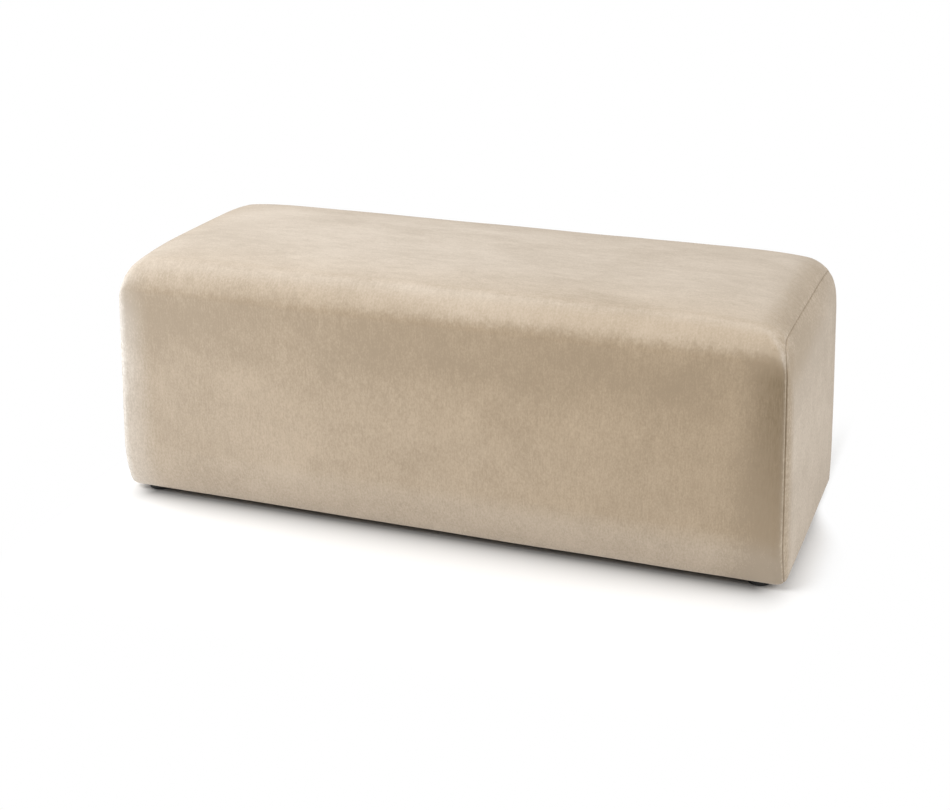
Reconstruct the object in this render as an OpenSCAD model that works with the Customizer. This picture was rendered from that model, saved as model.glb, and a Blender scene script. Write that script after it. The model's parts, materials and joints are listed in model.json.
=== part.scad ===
// Long upholstered bench: a plywood box on four low glides, webbed on top, padded with foam and
// wadding, and dressed in a sewn velvet cover whose front, seat and back are one strip of cloth.
// Millimetres. +X runs along the bench, the front faces -Y, +Z is up.
// The origin is on the floor under the middle of the bench.

/* [Overall size] */
// Length at the foot of the two ends
bench_len = 1100; // [900:10:1400]
// Depth from front to back
bench_dep = 435; // [400:5:520]
// Height from the floor to the middle of the seat
bench_ht = 420; // [380:5:480]
// Clear height under the cover, which the glides fill
floor_gap = 9; // [8:0.5:20]

/* [Shape of the cover] */
// Rounding of the long top edges
top_edge_r = 40; // [34:1:48]
// Rounding of the top edges of the two ends
end_edge_r = 46; // [40:1:56]
// Rounding of the upright corners and of the lower end edges
upright_edge_r = 22; // [20:1:27]
// Rounding where the cover turns under the front and back
foot_edge_r = 6; // [5:0.5:7]
// How far each end leans in from its foot to the seat
end_lean = 17; // [0:1:20]
// Rise of the domed seat from its edges to its middle
seat_rise = 28; // [18:1:34]
// Swell of the front and back walls
wall_crown = 2; // [0:0.5:5]
// Swell of the end walls
end_crown = 3; // [0:0.5:6]
// How far the front and back are drawn in at the foot
foot_draw = 22; // [10:1:24]
// Height over which they are drawn in
foot_draw_ht = 87; // [60:1:120]
// Place of the end seams round the upright corners, in degrees from the front
seam_angle = 45; // [40:1:60]

/* [Padding] */
// Thickness of the cover cloth
cloth_t = 1.5; // [1:0.1:2.2]
// Thickness of the wadding
wadding_t = 8; // [6:0.5:9]
// Thickness of the seat foam at its edges
seat_foam_t = 64; // [50:1:80]
// Height of the lower edge of the wall foams above the foot of the cover
foam_foot = 20; // [14:1:40]
// Width of the cloth turned under the frame
turn_under = 46; // [40:1:48]

/* [Frame] */
// Room for padding and cloth outside the frame at each end
end_pad = 28; // [27:1:34]
// Room for padding and cloth outside the frame at the front and the back
front_pad = 31; // [31:1:36]
// Thickness of the plywood
ply_t = 12; // [9:0.5:15]
// Thickness of the upper rails
top_rail_t = 20; // [18:1:26]
// Height of the upper rails
top_rail_h = 40; // [30:1:50]
// Width of the lower rails, which lie flat
low_rail_w = 45; // [42:1:55]
// Thickness of the lower rails
low_rail_t = 20; // [16:1:26]
// Height of the corner blocks
block_h = 40; // [36:1:50]
// Distance of each cross panel from the middle
divider_x = 170; // [120:5:200]
// Depth of the hollow in the top edge of the cross panels, under the webbing
divider_dip = 25; // [10:1:40]

/* [Seat deck] */
// Width of the webbing
web_w = 50; // [40:1:60]
// Thickness of the webbing
web_t = 1.5; // [1:0.1:2]
// Number of short straps
cross_strap_count = 8; // [6:1:9]
// Number of long straps
long_strap_count = 3; // [2:1:3]
// Thickness of the lining on the webbing
lining_t = 1; // [0.8:0.1:2]

/* [Underside] */
// Thickness of the dust cover
dust_t = 0.5; // [0.4:0.1:0.8]
// Width of the dust cover's edge beyond the inner edge of the turned cloth
dust_lap = 26; // [18:1:30]

/* [Feet] */
// Radius of a glide
foot_r = 17.5; // [15:0.5:18]
// Rounding of a glide's lower edge
foot_rim_r = 2.5; // [1:0.5:3]
// Distance of a glide's rim from the faces of the frame
foot_set = 0.5; // [0.5:0.5:4]

/* [Fasteners] */
// Radius of the wood screws
screw_r = 2; // [1.5:0.25:2.25]
// Length of the frame screws
screw_len = 30; // [25:1:31]
// Length of the glide screws
foot_screw_len = 26; // [20:1:30]
// Width of a staple's crown
staple_w = 10; // [8:0.5:12]
// Length of a staple's legs
staple_leg = 9; // [6:0.5:12]
// Thickness of the staple wire
wire_t = 0.6; // [0.5:0.05:0.8]

/* [Hidden] */
// Gap between curved soft layers, and between foam and frame
fit_gap = 0.3;
// Working clearance round staple legs and screw shanks
wire_fit = 0.05;
// Oversize of cutting shapes
cut_over = 1;
// Facets of screws and holes
round_n = 24;

// Cover form, before crown and lean: z is counted from the foot of the cover
form_ht = bench_ht - floor_gap - seat_rise;
half_len = (bench_len - end_lean) / 2;
half_dep = bench_dep / 2 - wall_crown;
// Least rounding of an inner skin at the foot edges and at the long top edges
edge_min = 0.4;
corner_min = 6;
// Flatness of the dome's middle, across the bench and along it
dome_power = 4;
dome_end_power = 12;
// Room kept beside the frame where the foot is drawn in
edge_room = 1;
draw_in = min(foot_draw, front_pad - wall_crown - foot_edge_r - edge_room);

// Depths of the soft layers below the outside of the cloth
wadding_out = cloth_t + fit_gap;
wadding_in = wadding_out + wadding_t;
foam_out = wadding_in + fit_gap;

// Frame
frame_hl = bench_len / 2 - end_pad;
frame_hd = bench_dep / 2 - front_pad;
frame_z = floor_gap + cloth_t;
seat_z = floor_gap + form_ht - foam_out - seat_foam_t;
deck_z = seat_z - lining_t;
frame_top = deck_z - 2 * web_t;
in_hl = frame_hl - ply_t;
in_hd = frame_hd - ply_t;
low_top = frame_z + low_rail_t;
divider_top = frame_top - top_rail_h;
foot_x = frame_hl - foot_set - foot_r;
foot_y = frame_hd - foot_set - foot_r;

// Turned-under cloth and dust cover
open_x = frame_hl - turn_under;
open_y = frame_hd - turn_under;
dust_x = open_x + dust_lap;
dust_y = open_y + dust_lap;
notch = foot_r + 3;

// Divisions of the soft forms
foot_steps = 2;
wall_steps = 6;
arc_steps = 5;
seat_steps = 6;
end_steps = 5;
// Place of the two rows between the middle and the ends, as a share of the half length
side_row_place = 0.82;
// Crowding of the wall rows towards the foot
wall_spread = 1.6;
// Size of the inner ring on each end face, as a share of the face
cap_ring = 0.5;

// Screws
head_r = 2 * screw_r;
head_h = screw_r;
foot_head_r = 2 * screw_r + 0.2;
foot_head_h = 2.4;
glide_web = 5.1;
foot_head_z = floor_gap - glide_web - foot_head_h;
foot_screw_z = floor_gap - glide_web;
foot_well_r = foot_head_r + 0.8;

// Colours
velvet = [0.78, 0.70, 0.60];
wadding_white = [0.94, 0.94, 0.92];
foam_cream = [0.93, 0.87, 0.68];
web_black = [0.16, 0.16, 0.17];
lining_grey = [0.62, 0.62, 0.60];
ply_tan = [0.82, 0.68, 0.48];
pine_pale = [0.90, 0.78, 0.56];
steel_grey = [0.66, 0.67, 0.69];
glide_black = [0.06, 0.06, 0.065];
dust_black = [0.10, 0.10, 0.11];

// Soft form: a rounded box in nested skins, k deep below the outside of the cloth

function ease(t) = t * t * (3 - 2 * t);
function clamp01(t) = min(1, max(0, t));

// Rounding of an end at a place on the section: the upright radius on the walls, the top one on the seat
function end_r(s) = upright_edge_r + (end_edge_r - upright_edge_r) * ease(s);

// Crown, lean and drawn-in foot, as one smooth move of a point
function soften(p) =
    let (u = p.x / half_len, v = p.y / half_dep, w = 2 * p.z / form_ht - 1)
    let (bu = max(0, 1 - u * u), bv = max(0, 1 - v * v), bw = max(0, 1 - w * w))
    let (low = pow(clamp01(1 - p.z / foot_draw_ht), 2))
    let (dome = max(0, 1 - pow(abs(v), dome_power)) * max(0, 1 - pow(abs(u), dome_end_power)))
    [
        p.x + u * (end_crown * bv * bw - w * end_lean / 2),
        p.y + v * (wall_crown * bu * bw - draw_in * low),
        p.z + floor_gap + pow(clamp01(p.z / form_ht), 3) * dome * seat_rise
    ];

// Places round the section, from the front foot over the seat to the back foot:
// kind 0 is the foot edge, 1 a wall, 2 a long top edge, 3 the seat
stations = concat(
    [for (i = [0 : foot_steps]) [0, -1, -90 + 90 * i / foot_steps]],
    [for (i = [1 : wall_steps - 1]) [1, -1, i / wall_steps]],
    [for (i = [0 : arc_steps]) [2, -1, 90 * i / arc_steps]],
    [for (i = [1 : seat_steps - 1]) [3, 1, 2 * i / seat_steps - 1]],
    [for (i = [arc_steps : -1 : 0]) [2, 1, 90 * i / arc_steps]],
    [for (i = [wall_steps - 1 : -1 : 1]) [1, 1, i / wall_steps]],
    [for (i = [foot_steps : -1 : 0]) [0, 1, -90 + 90 * i / foot_steps]]
);

// Point of a skin at one place of the section and one angle round the end: 0 along the wall, 90 on the end
function skin_point(k, turn, st) =
    let (a = 1 - cos(turn), b = 1 - sin(turn), t = st[2], side = st[1])
    let (s = st[0] == 2 ? t / 90 : (st[0] == 3 ? 1 : 0), x = half_len - k - (end_r(s) - k) * b)
    let (wall_in = k + (upright_edge_r - k) * a, seat_in = k + (end_edge_r - k) * a)
    let (arc_y = max(top_edge_r - wall_in, corner_min), arc_z = top_edge_r - k)
    let (wall = half_dep - wall_in, arc_from = form_ht - seat_in - arc_z)
    let (edge = max(foot_edge_r - wall_in, edge_min), foot_z = wall_in + edge)
    st[0] == 0 ? [x, side * (wall - edge + edge * cos(t)), foot_z + edge * sin(t)] :
    st[0] == 1 ? [x, side * wall, foot_z + (arc_from - foot_z) * pow(t, wall_spread)] :
    st[0] == 2 ? [x, side * (wall - arc_y + arc_y * cos(t)), arc_from + arc_z * sin(t)] :
    [x, t * (wall - arc_y), form_ht - seat_in];

// Rows of the skin from the right end to the left: side, angle, share of the length, share of the end face
skin_rows = concat(
    [[1, 90, 1, cap_ring]],
    [for (i = [end_steps : -1 : 0]) [1, 90 * i / end_steps, 1, 1]],
    [for (i = [-1 : 1]) [1, 0, -i * side_row_place, 1]],
    [for (i = [0 : end_steps]) [-1, 90 * i / end_steps, 1, 1]],
    [[-1, 90, 1, cap_ring]]
);

function row_point(k, row, st) =
    let (p = skin_point(k, row[1], st), mid = form_ht / 2)
    soften([row[0] * row[2] * p.x, row[3] * p.y, mid + row[3] * (p.z - mid)]);

// Four corners as two triangles, split the other way in each quarter so that both ends and both
// sides mirror each other
function halves(a, b, c, d, split) = split ? [[a, b, c], [a, c, d]] : [[a, b, d], [b, c, d]];

module soft_body(k) {
    n = len(stations);
    rows = len(skin_rows);
    pts = concat(
        [for (row = skin_rows) for (st = stations) row_point(k, row, st)],
        [soften([half_len - k, 0, form_ht / 2]), soften([k - half_len, 0, form_ht / 2])]
    );
    faces = concat(
        [for (i = [0 : rows - 2]) for (j = [0 : n - 1])
            let (m = (j + 1) % n, right = i < (rows - 1) / 2, front = j < (n - 1) / 2)
            each halves(i * n + j, (i + 1) * n + j, (i + 1) * n + m, i * n + m, right == front)],
        [for (j = [0 : n - 1]) [rows * n, j, (j + 1) % n]],
        [for (j = [0 : n - 1])
            [rows * n + 1, (rows - 1) * n + (j + 1) % n, (rows - 1) * n + j]]
    );
    polyhedron(points = pts, faces = faces, convexity = 6);
}

// Block centred on the middle of the bench in plan, from z0 to z1
module mid_block(hx, hy, z0, z1) {
    translate([-hx, -hy, z0]) cube([2 * hx, 2 * hy, z1 - z0]);
}

// Everything between the two end seams; grow moves both seams outwards
module between_seams(grow) {
    tilt = [for (i = [0 : arc_steps]) soften(skin_point(0, seam_angle, [2, 1, 90 * i / arc_steps]))];
    wall_x = half_len - upright_edge_r * (1 - sin(seam_angle));
    foot = soften([wall_x, half_dep, 0]);
    side = concat([[foot.x, foot.z - floor_gap]], [for (p = tilt) [p.x, p.z]],
        [[tilt[len(tilt) - 1].x, bench_ht + floor_gap]]);
    pts = concat([for (p = side) [p.x + grow, p.y]],
        [for (i = [len(side) - 1 : -1 : 0]) [-side[i].x - grow, side[i].y]]);
    rotate([90, 0, 0]) linear_extrude(height = 2 * bench_dep, center = true) polygon(pts);
}

module cloth_shell() {
    difference() {
        soft_body(0);
        soft_body(cloth_t);
        mid_block(open_x, open_y, 0, frame_z + cut_over);
    }
}

// Strip under each end that belongs to the end cloth, between the front and back turn-unders
module end_flap_zone(grow) {
    mid_block(bench_len, open_y + grow, 0, floor_gap + upright_edge_r + fit_gap);
}

module glide_screw_holes() {
    for (sx = [-1, 1], sy = [-1, 1])
        translate([sx * foot_x, sy * foot_y, 0])
            cylinder(r = screw_r + wire_fit, h = foot_screw_z + foot_screw_len + wire_fit, $fn = round_n);
}

module cover_main() {
    color(velvet) difference() {
        intersection() {
            cloth_shell();
            between_seams(-fit_gap / 2);
        }
        end_flap_zone(fit_gap / 2);
        cover_staple_set(wire_fit);
        glide_screw_holes();
    }
}

module cover_end() {
    difference() {
        intersection() {
            cloth_shell();
            translate([0, -bench_dep, 0]) cube([bench_len, 2 * bench_dep, 2 * bench_ht]);
            union() {
                difference() {
                    mid_block(bench_len, bench_dep, 0, 2 * bench_ht);
                    between_seams(fit_gap / 2);
                }
                end_flap_zone(-fit_gap / 2);
            }
        }
        cover_staple_set(wire_fit);
    }
}

module cover_end_left() { color(velvet) mirror([1, 0, 0]) cover_end(); }
module cover_end_right() { color(velvet) cover_end(); }

// Wadding: round the walls and over the seat; below the wall foams it fills up to the frame

module wadding_all() {
    difference() {
        soft_body(wadding_out);
        intersection() {
            soft_body(wadding_in);
            mid_block(bench_len, bench_dep, floor_gap + foam_foot - fit_gap, 2 * bench_ht);
        }
        mid_block(frame_hl + fit_gap, frame_hd + fit_gap, 0, frame_top);
        mid_block(bench_len, bench_dep, 0, frame_z + fit_gap);
    }
}

module wadding_wrap() {
    color(wadding_white) intersection() {
        wadding_all();
        mid_block(frame_hl + fit_gap, bench_dep, 0, 2 * bench_ht);
    }
}

module wadding_end() {
    x0 = frame_hl + 2 * fit_gap;
    intersection() {
        wadding_all();
        translate([x0, -bench_dep, 0]) cube([bench_len, 2 * bench_dep, 2 * bench_ht]);
    }
}

module wadding_end_left() { color(wadding_white) mirror([1, 0, 0]) wadding_end(); }
module wadding_end_right() { color(wadding_white) wadding_end(); }

// Foams

module seat_foam() {
    color(foam_cream) intersection() {
        soft_body(foam_out);
        mid_block(bench_len, bench_dep, seat_z, 2 * bench_ht);
    }
}

module wall_foam_zone() {
    intersection() {
        soft_body(foam_out);
        mid_block(bench_len, bench_dep, floor_gap + foam_foot, seat_z);
    }
}

module back_foam() {
    color(foam_cream) intersection() {
        wall_foam_zone();
        translate([-bench_len, frame_hd + fit_gap, 0]) cube([2 * bench_len, bench_dep, bench_ht]);
    }
}

module front_foam() { mirror([0, 1, 0]) back_foam(); }

module end_foam() {
    intersection() {
        wall_foam_zone();
        translate([frame_hl + fit_gap, -frame_hd, 0]) cube([bench_len, 2 * frame_hd, bench_ht]);
    }
}

module end_foam_left() { color(foam_cream) mirror([1, 0, 0]) end_foam(); }
module end_foam_right() { color(foam_cream) end_foam(); }

// Staple: its crown lies along X with its lower face at z = 0, and its two legs go up

module staple(grow) {
    wire_w = 2 * wire_t;
    for (sx = [-1, 1])
        translate([sx * (staple_w - wire_t) / 2 - wire_t / 2 - grow, -wire_w / 2 - grow, 0])
            cube([wire_t + 2 * grow, wire_w + 2 * grow, staple_leg + grow]);
    translate([-staple_w / 2 - grow, -wire_w / 2 - grow, -grow])
        cube([staple_w + 2 * grow, wire_w + 2 * grow, wire_t + grow]);
}

// Evenly spread places between two limits
function spread(from, to, count) =
    [for (i = [0 : count - 1]) from + (to - from) * (count > 1 ? i / (count - 1) : 0.5)];

// Staples that hold the turned-under cloth, their crowns pressed level with it
long_staple_count = 10;
end_staple_count = 4;
cover_row_y = open_y + staple_w;
cover_row_x = open_x + staple_w;

module cover_staple_set(grow) {
    for (x = spread(-in_hl + 2 * low_rail_w, in_hl - 2 * low_rail_w, long_staple_count), sy = [-1, 1])
        translate([x, sy * cover_row_y, floor_gap]) staple(grow);
    for (y = spread(-open_y + turn_under, open_y - turn_under, end_staple_count), sx = [-1, 1])
        translate([sx * cover_row_x, y, floor_gap]) rotate([0, 0, 90]) staple(grow);
}

module cover_staples() { color(steel_grey) cover_staple_set(0); }

// Staples that hold the dust cover, just inside the edge of the turned cloth
dust_row_y = open_y - 2 * wire_t - wire_fit;
dust_row_x = open_x - 2 * wire_t - wire_fit;

module dust_staple_set(grow) {
    z = floor_gap - dust_t - wire_t;
    for (x = spread(-in_hl + 2 * low_rail_w, in_hl - 2 * low_rail_w, long_staple_count), sy = [-1, 1])
        translate([x + staple_w, sy * dust_row_y, z]) staple(grow);
    for (y = spread(-open_y + turn_under, open_y - turn_under, end_staple_count), sx = [-1, 1])
        translate([sx * dust_row_x, y, z]) rotate([0, 0, 90]) staple(grow);
}

module dust_cover_staples() { color(steel_grey) dust_staple_set(0); }

module dust_cover() {
    color(dust_black) difference() {
        mid_block(dust_x, dust_y, floor_gap - dust_t, floor_gap);
        for (sx = [-1, 1], sy = [-1, 1])
            translate([sx * foot_x, sy * foot_y, 0])
                mid_block(notch, notch, floor_gap - dust_t - cut_over, floor_gap + cut_over);
        dust_staple_set(wire_fit);
    }
}

// Webbing: short straps lie flat on the rails, long straps weave over and under them

cross_x = spread(-in_hl + top_rail_t + web_w, in_hl - top_rail_t - web_w, cross_strap_count);
long_y = spread(-in_hd + top_rail_t + web_w, in_hd - top_rail_t - web_w, long_strap_count);
strap_end_x = frame_hl - ply_t / 2;
strap_end_y = frame_hd - ply_t / 2;
strap_staple_x = in_hl - top_rail_t / 2;
strap_staple_y = in_hd - top_rail_t / 2;

module web_staple_set(grow) {
    z = frame_top + web_t + wire_t;
    for (x = cross_x, e = [-1, 1], sy = [-1, 1])
        translate([x + e * web_w / 4, sy * strap_staple_y, z]) rotate([180, 0, 0]) staple(grow);
    for (y = long_y, e = [-1, 1], sx = [-1, 1])
        translate([sx * strap_staple_x, y + e * web_w / 4, z]) rotate([180, 0, 90]) staple(grow);
}

module webbing_staples() { color(steel_grey) web_staple_set(0); }

module cross_webbing() {
    color(web_black) difference() {
        for (x = cross_x)
            translate([x - web_w / 2, -strap_end_y, frame_top]) cube([web_w, 2 * strap_end_y, web_t]);
        web_staple_set(wire_fit);
    }
}

// Side view of one long strap: its lower edge, raised or dropped at every short strap
function weave_line(phase) = concat(
    [[-strap_end_x, 0], [-in_hl + top_rail_t + web_t, 0]],
    [for (i = [0 : len(cross_x) - 1]) for (e = [-1, 1])
        [cross_x[i] + e * (web_w / 2 + 4 * web_t), ((i + phase) % 2 == 0 ? 1 : -1) * web_t]],
    [[in_hl - top_rail_t - web_t, 0], [strap_end_x, 0]]
);

module long_webbing() {
    color(web_black) difference() {
        for (k = [0 : len(long_y) - 1]) {
            low = weave_line(k);
            pts = concat(low, [for (i = [len(low) - 1 : -1 : 0]) [low[i].x, low[i].y + web_t]]);
            translate([0, long_y[k] + web_w / 2, frame_top])
                rotate([90, 0, 0]) linear_extrude(height = web_w) polygon(pts);
        }
        web_staple_set(wire_fit);
    }
}

module deck_lining() {
    color(lining_grey) mid_block(strap_end_x, strap_end_y, deck_z, seat_z);
}

// Frame screws: every one goes in from outside, through the plywood, its head level with the face

row_z = [low_top + block_h, (low_top + block_h + divider_top) / 2, divider_top];
rail_screw_x = spread(-2 * divider_x - ply_t, 2 * divider_x + ply_t, 5);
divider_screw_z = spread(low_top + block_h, divider_top - divider_dip - block_h / 2, 3);
block_screw_z = frame_z + block_h * 3 / 4;
low_screw_z = frame_z + low_rail_t / 2;
top_screw_z = frame_top - top_rail_h / 2;

// Places on a long face, as distance along it and height
long_face_screws = concat(
    [for (sx = [-1, 1]) for (z = row_z) [sx * (frame_hl - ply_t / 2), z]],
    [for (x = rail_screw_x) for (z = [low_screw_z, top_screw_z]) [x, z]],
    [for (sx = [-1, 1]) for (z = divider_screw_z) [sx * divider_x, z]],
    [for (sx = [-1, 1]) [sx * (in_hl - low_rail_w / 2), block_screw_z]]
);
// Places on an end face
end_face_screws = concat(
    [for (sy = [-1, 1]) for (z = [low_screw_z, top_screw_z]) [sy * in_hd / 2, z]],
    [for (sy = [-1, 1]) [sy * (in_hd - low_rail_w / 2), block_screw_z]]
);

module wood_screw(grow) {
    cylinder(r1 = head_r + grow, r2 = screw_r + grow, h = head_h, $fn = round_n);
    cylinder(r = screw_r + grow, h = screw_len + grow, $fn = round_n);
}

module frame_screw_set(grow) {
    for (p = long_face_screws) {
        translate([p[0], -frame_hd, p[1]]) rotate([-90, 0, 0]) wood_screw(grow);
        translate([p[0], frame_hd, p[1]]) rotate([90, 0, 0]) wood_screw(grow);
    }
    for (p = end_face_screws) {
        translate([frame_hl, p[0], p[1]]) rotate([0, -90, 0]) wood_screw(grow);
        translate([-frame_hl, p[0], p[1]]) rotate([0, 90, 0]) wood_screw(grow);
    }
}

module frame_screws() { color(steel_grey) frame_screw_set(0); }

// Frame

module back_panel() {
    color(ply_tan) difference() {
        translate([-frame_hl, in_hd, frame_z]) cube([2 * frame_hl, ply_t, frame_top - frame_z]);
        frame_screw_set(wire_fit);
    }
}

module front_panel() { mirror([0, 1, 0]) back_panel(); }

module end_panel() {
    difference() {
        translate([in_hl, -in_hd, frame_z]) cube([ply_t, 2 * in_hd, frame_top - frame_z]);
        frame_screw_set(wire_fit);
    }
}

module end_panel_left() { color(ply_tan) mirror([1, 0, 0]) end_panel(); }
module end_panel_right() { color(ply_tan) end_panel(); }

// Cross panel between the front and back: it stands on the lower rails and stops under the upper ones
module divider() {
    dip_y = in_hd - top_rail_t - divider_dip / 2;
    low_y = dip_y - divider_dip;
    dip_z = divider_top - divider_dip;
    side = [[-in_hd, low_top], [in_hd, low_top], [in_hd, divider_top], [dip_y, divider_top],
        [low_y, dip_z], [-low_y, dip_z], [-dip_y, divider_top], [-in_hd, divider_top]];
    difference() {
        translate([divider_x - ply_t / 2, 0, 0])
            rotate([90, 0, 90]) linear_extrude(height = ply_t) polygon(side);
        frame_screw_set(wire_fit);
    }
}

module divider_left() { color(ply_tan) mirror([1, 0, 0]) divider(); }
module divider_right() { color(ply_tan) divider(); }

module top_rail_back() {
    color(pine_pale) difference() {
        translate([-in_hl, in_hd - top_rail_t, divider_top]) cube([2 * in_hl, top_rail_t, top_rail_h]);
        frame_screw_set(wire_fit);
        web_staple_set(wire_fit);
    }
}

module top_rail_front() { mirror([0, 1, 0]) top_rail_back(); }

module top_rail_end() {
    hy = in_hd - top_rail_t;
    difference() {
        translate([in_hl - top_rail_t, -hy, divider_top]) cube([top_rail_t, 2 * hy, top_rail_h]);
        frame_screw_set(wire_fit);
        web_staple_set(wire_fit);
    }
}

module top_rail_left() { color(pine_pale) mirror([1, 0, 0]) top_rail_end(); }
module top_rail_right() { color(pine_pale) top_rail_end(); }

module low_rail_cuts() {
    frame_screw_set(wire_fit);
    cover_staple_set(wire_fit);
    dust_staple_set(wire_fit);
    glide_screw_holes();
}

module low_rail_back() {
    hx = in_hl - low_rail_w;
    color(pine_pale) difference() {
        translate([-hx, in_hd - low_rail_w, frame_z]) cube([2 * hx, low_rail_w, low_rail_t]);
        low_rail_cuts();
    }
}

module low_rail_front() { mirror([0, 1, 0]) low_rail_back(); }

module low_rail_end() {
    hy = in_hd - low_rail_w;
    difference() {
        translate([in_hl - low_rail_w, -hy, frame_z]) cube([low_rail_w, 2 * hy, low_rail_t]);
        low_rail_cuts();
    }
}

module low_rail_left() { color(pine_pale) mirror([1, 0, 0]) low_rail_end(); }
module low_rail_right() { color(pine_pale) low_rail_end(); }

module foot_block() {
    color(pine_pale) difference() {
        translate([in_hl - low_rail_w, in_hd - low_rail_w, frame_z])
            cube([low_rail_w, low_rail_w, block_h]);
        low_rail_cuts();
    }
}

module foot_block_back_right() { foot_block(); }
module foot_block_back_left() { mirror([1, 0, 0]) foot_block(); }
module foot_block_front_right() { mirror([0, 1, 0]) foot_block(); }
module foot_block_front_left() { mirror([1, 0, 0]) mirror([0, 1, 0]) foot_block(); }

// Glides: a black puck with a rounded lower rim and a well for its screw

module glide(sx, sy) {
    steps = 6;
    rim = [for (i = [0 : steps]) let (t = 90 * i / steps)
        [foot_r - foot_rim_r + foot_rim_r * sin(t), foot_rim_r - foot_rim_r * cos(t)]];
    pts = concat([[foot_well_r, 0]], rim,
        [[foot_r, floor_gap], [screw_r + wire_fit, floor_gap],
         [screw_r + wire_fit, foot_screw_z], [foot_well_r, foot_screw_z]]);
    color(glide_black) translate([sx * foot_x, sy * foot_y, 0])
        rotate_extrude($fn = 64) polygon(pts);
}

module foot_front_left() { glide(-1, -1); }
module foot_front_right() { glide(1, -1); }
module foot_back_left() { glide(-1, 1); }
module foot_back_right() { glide(1, 1); }

module foot_screws() {
    color(steel_grey) for (sx = [-1, 1], sy = [-1, 1])
        translate([sx * foot_x, sy * foot_y, 0]) {
            translate([0, 0, foot_head_z]) cylinder(r = foot_head_r, h = foot_head_h, $fn = round_n);
            translate([0, 0, foot_screw_z]) cylinder(r = screw_r, h = foot_screw_len, $fn = round_n);
        }
}

cover_main();
cover_end_left();
cover_end_right();
wadding_wrap();
wadding_end_left();
wadding_end_right();
seat_foam();
front_foam();
back_foam();
end_foam_left();
end_foam_right();
deck_lining();
cross_webbing();
long_webbing();
webbing_staples();
front_panel();
back_panel();
end_panel_left();
end_panel_right();
divider_left();
divider_right();
top_rail_front();
top_rail_back();
top_rail_left();
top_rail_right();
low_rail_front();
low_rail_back();
low_rail_left();
low_rail_right();
foot_block_front_left();
foot_block_front_right();
foot_block_back_left();
foot_block_back_right();
frame_screws();
cover_staples();
dust_cover();
dust_cover_staples();
foot_front_left();
foot_front_right();
foot_back_left();
foot_back_right();
foot_screws();
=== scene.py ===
import json
import math
from functools import reduce

import bmesh
import bpy
import numpy as np
from bpy.props import FloatProperty, FloatVectorProperty, PointerProperty
from bpy.types import Operator, Panel, PropertyGroup
from mathutils import Matrix, Vector, noise


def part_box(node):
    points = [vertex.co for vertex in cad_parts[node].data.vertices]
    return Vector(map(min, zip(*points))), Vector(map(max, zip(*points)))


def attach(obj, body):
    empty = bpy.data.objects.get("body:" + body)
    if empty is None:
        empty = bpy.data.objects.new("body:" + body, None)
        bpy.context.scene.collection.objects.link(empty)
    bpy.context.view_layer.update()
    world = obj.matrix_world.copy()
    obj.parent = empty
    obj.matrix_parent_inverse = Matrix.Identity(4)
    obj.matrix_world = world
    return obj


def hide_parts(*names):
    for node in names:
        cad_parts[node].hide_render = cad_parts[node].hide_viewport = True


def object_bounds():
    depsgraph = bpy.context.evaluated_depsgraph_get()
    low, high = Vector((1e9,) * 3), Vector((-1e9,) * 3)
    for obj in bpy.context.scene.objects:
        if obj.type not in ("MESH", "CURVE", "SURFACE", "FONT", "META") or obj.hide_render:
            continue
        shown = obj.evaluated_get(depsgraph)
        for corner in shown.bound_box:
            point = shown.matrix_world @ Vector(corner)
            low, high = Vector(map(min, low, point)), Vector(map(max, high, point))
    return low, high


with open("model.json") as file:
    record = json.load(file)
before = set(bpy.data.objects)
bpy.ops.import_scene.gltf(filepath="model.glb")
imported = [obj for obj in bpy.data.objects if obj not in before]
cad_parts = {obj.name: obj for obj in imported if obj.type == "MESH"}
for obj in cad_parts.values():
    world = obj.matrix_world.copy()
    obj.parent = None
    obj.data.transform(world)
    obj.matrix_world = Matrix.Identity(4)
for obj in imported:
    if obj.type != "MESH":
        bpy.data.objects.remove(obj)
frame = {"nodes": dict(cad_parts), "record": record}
CAD_BOX = [list(corner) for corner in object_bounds()]

bl_info = {
    "name": "Long Upholstered Bench",
    "version": (1, 0, 0),
    "blender": (4, 5, 0),
    "location": "View3D > Sidebar > Bench",
    "description": "Dresses the bench's frame in its sewn velvet cover, glides and dust cover",
    "category": "Add Mesh",
}

COVER_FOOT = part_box("cover_main")[0].z
SEAT_TOP = CAD_BOX[1][2]
DUST_LOW, DUST_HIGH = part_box("dust_cover")
GLIDES = ["foot_front_left", "foot_front_right", "foot_back_left", "foot_back_right"]
MM = 0.001
QUARTER = math.radians(90)


# Sizes and colours that a user would change


def length(name, description, default, least=0):
    return FloatProperty(name=name, description=description, default=default, min=least, unit="LENGTH")


def angle(name, description, degrees):
    return FloatProperty(name=name, description=description, default=math.radians(degrees), subtype="ANGLE")


def colour(name, description, default):
    return FloatVectorProperty(
        name=name, description=description, default=default, min=0, max=1, size=3, subtype="COLOR"
    )


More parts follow.
